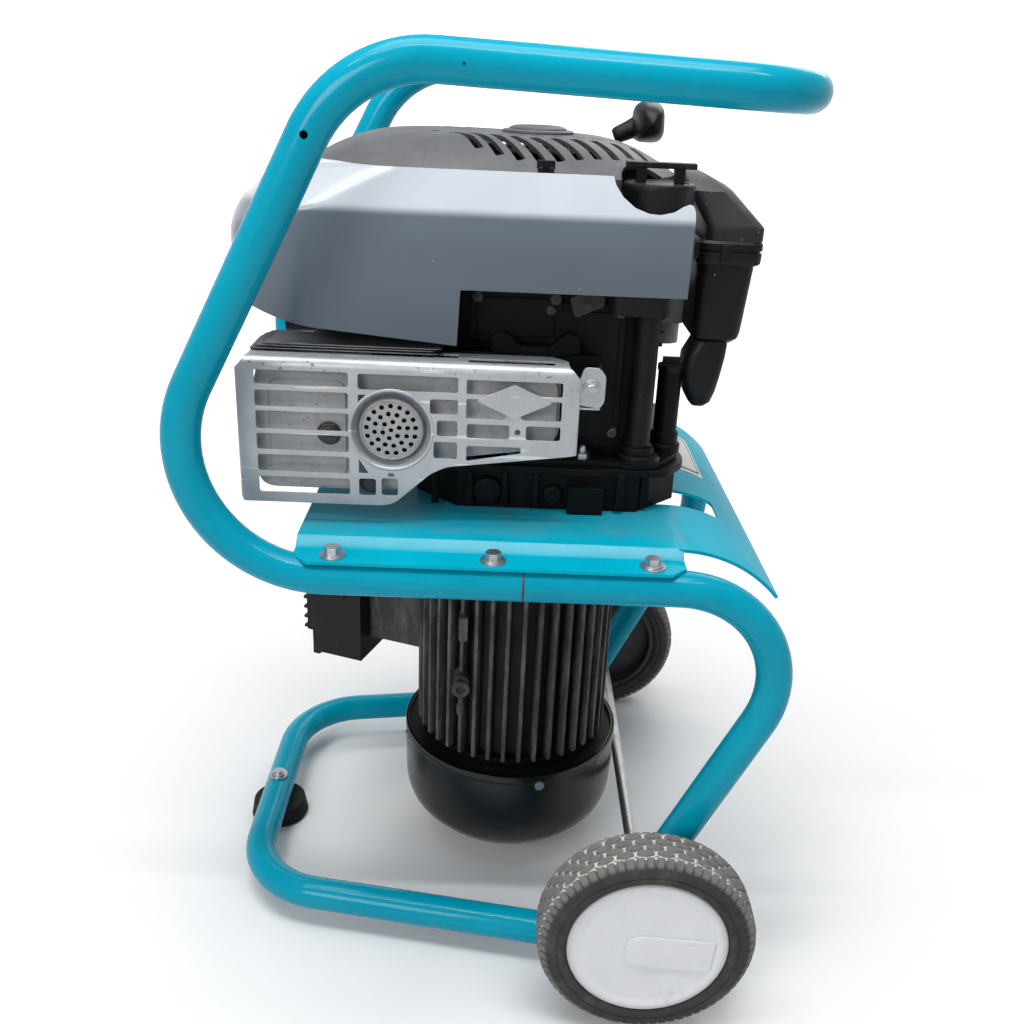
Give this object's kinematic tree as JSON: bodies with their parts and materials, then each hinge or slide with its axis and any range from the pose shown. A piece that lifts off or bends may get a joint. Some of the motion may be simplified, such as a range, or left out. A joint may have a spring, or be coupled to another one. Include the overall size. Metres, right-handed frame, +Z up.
{
  "type": "portable generator",
  "caption": "Wheeled portable generator: a vertical-shaft petrol engine on a bent-tube frame drives a finned alternator hung below the deck.",
  "frame": {"origin": "on the floor, under the middle of the whole object", "axes": "+Z up, -Y towards the muffler side, +X towards the wheel end"},
  "size_m": [0.544, 0.6, 0.8466],
  "materials": {
    "teal_paint": "gloss enamel with small chips",
    "zinc": "bright zinc plate",
    "axle_steel": "scuffed bare steel",
    "steel": "machined",
    "tyre_rubber": "dusty rubber",
    "foot_rubber": "matt",
    "rim_plastic": "moulded",
    "hub_cap_plastic": "light grey, scuffed",
    "black_casting": "black paint on a rough casting",
    "alternator_casting": "dark grey paint, dusty",
    "bare_aluminium": "as cast",
    "cast_iron": "as cast",
    "blower_plastic": "dusty textured plastic",
    "shroud_plastic": "blue-grey gloss",
    "black_plastic": "moulded",
    "guard_steel": "pitted silver coating",
    "muffler_steel": "heat stained",
    "black_steel": "black stove paint",
    "lamination": "stacked sheet",
    "copper": "enamelled wire",
    "filter_paper": "pleated paper",
    "rope": "braided",
    "red_plastic": "moulded"
  },
  "bodies": {
    "generator": {"upper_frame_tube": "teal_paint", "lower_frame_tube": "teal_paint", "joint_sleeves": "steel", "deck_plate": "teal_paint", "deck_bolts": "zinc", "axle": "axle_steel", "axle_retainers": "zinc", "rubber_foot": "foot_rubber", "foot_bolt": "zinc", "engine_bolts": "zinc", "sump": "black_casting", "crankcase": "black_casting", "cylinder_head": "black_casting", "blower_housing": "blower_plastic", "starter_cap": "blower_plastic", "engine_shroud": "shroud_plastic", "heat_shield": "guard_steel", "muffler_body": "muffler_steel", "muffler_outlet": "muffler_steel", "muffler_guard": "guard_steel", "guard_bracket": "zinc", "guard_screws": "zinc", "fuel_tank": "black_plastic", "air_cleaner_base": "black_plastic", "air_cleaner_cover": "blower_plastic", "air_filter": "filter_paper", "carburettor": "bare_aluminium", "oil_filler_neck": "black_casting", "spark_plug_boot": "foot_rubber", "alternator_flange": "alternator_casting", "alternator_housing": "alternator_casting", "lower_endshield": "alternator_casting", "shaft_bearings": "steel", "stator_core": "lamination", "stator_windings": "copper", "fan_cover": "black_steel", "fan_cover_screws": "zinc", "terminal_adaptor": "alternator_casting", "socket_box": "black_plastic", "socket_panel": "black_plastic", "socket_inserts": "black_plastic"},
    "near_wheel": {"near_tyre": "tyre_rubber", "near_rim": "rim_plastic", "near_hub_cap": "hub_cap_plastic"},
    "far_wheel": {"far_tyre": "tyre_rubber", "far_rim": "rim_plastic", "far_hub_cap": "hub_cap_plastic"},
    "crank_train": {"crankshaft": "cast_iron", "flywheel": "bare_aluminium", "rotor": "lamination", "cooling_fan": "black_plastic"},
    "piston_body": {"piston": "bare_aluminium"},
    "reel": {"starter_reel": "black_plastic"},
    "starter_pull": {"starter_grip": "black_plastic", "starter_rope": "rope"},
    "fuel_cap_body": {"fuel_cap": "black_plastic"},
    "dipstick_body": {"dipstick": "black_plastic"},
    "near_lid": {"near_socket_lid": "black_plastic"},
    "far_lid": {"far_socket_lid": "black_plastic"},
    "breaker": {"breaker_button": "red_plastic"}
  },
  "joints": [
    {"name": "near_wheel_spin", "type": "hinge", "parent": "generator", "child": "near_wheel", "pos_m": [0.15365, -0.275, 0.1], "axis": [0, 1, 0], "continuous": true},
    {"name": "far_wheel_spin", "type": "hinge", "parent": "generator", "child": "far_wheel", "pos_m": [0.15365, 0.275, 0.1], "axis": [0, 1, 0], "continuous": true},
    {"name": "crank_spin", "type": "hinge", "parent": "generator", "child": "crank_train", "pos_m": [0.027, 0, 0.4], "axis": [0, 0, 1], "continuous": true},
    {"name": "piston_stroke", "type": "slide", "parent": "generator", "child": "piston_body", "axis": [1, 0, 0], "range_m": [0, 0.048]},
    {"name": "starter_pull_out", "type": "slide", "parent": "generator", "child": "starter_pull", "axis": [1, 0, 0], "range_m": [0, 0.45], "stiffness_N_per_m": 20, "springref_m": -0.3},
    {"name": "reel_spin", "type": "hinge", "parent": "generator", "child": "reel", "pos_m": [0.027, 0, 0.754], "axis": [0, 0, 1], "range_deg": [-5, 698.5]},
    {"name": "fuel_cap_lift", "type": "slide", "parent": "generator", "child": "fuel_cap_body", "axis": [0, 0, 1], "range_m": [0, 0.12]},
    {"name": "dipstick_lift", "type": "slide", "parent": "generator", "child": "dipstick_body", "axis": [0, 0, 1], "range_m": [0, 0.08]},
    {"name": "near_lid_hinge", "type": "hinge", "parent": "generator", "child": "near_lid", "pos_m": [-0.19268, 0.04697, 0.293], "axis": [0.342, 0.9397, 0], "range_deg": [0, 100], "stiffness_Nm_per_rad": 0.02, "springref_deg": -28.65},
    {"name": "far_lid_hinge", "type": "hinge", "parent": "generator", "child": "far_lid", "pos_m": [-0.17148, 0.10523, 0.293], "axis": [0.342, 0.9397, 0], "range_deg": [0, 100], "stiffness_Nm_per_rad": 0.02, "springref_deg": -28.65},
    {"name": "breaker_press", "type": "slide", "parent": "generator", "child": "breaker", "axis": [0.9397, -0.342, 0], "range_m": [0, 0.003], "stiffness_N_per_m": 400, "springref_m": -0.002}
  ],
  "couplings": [
    {"joint": "reel_spin", "follows": "starter_pull_out", "rad_per_m": 26.316}
  ]
}
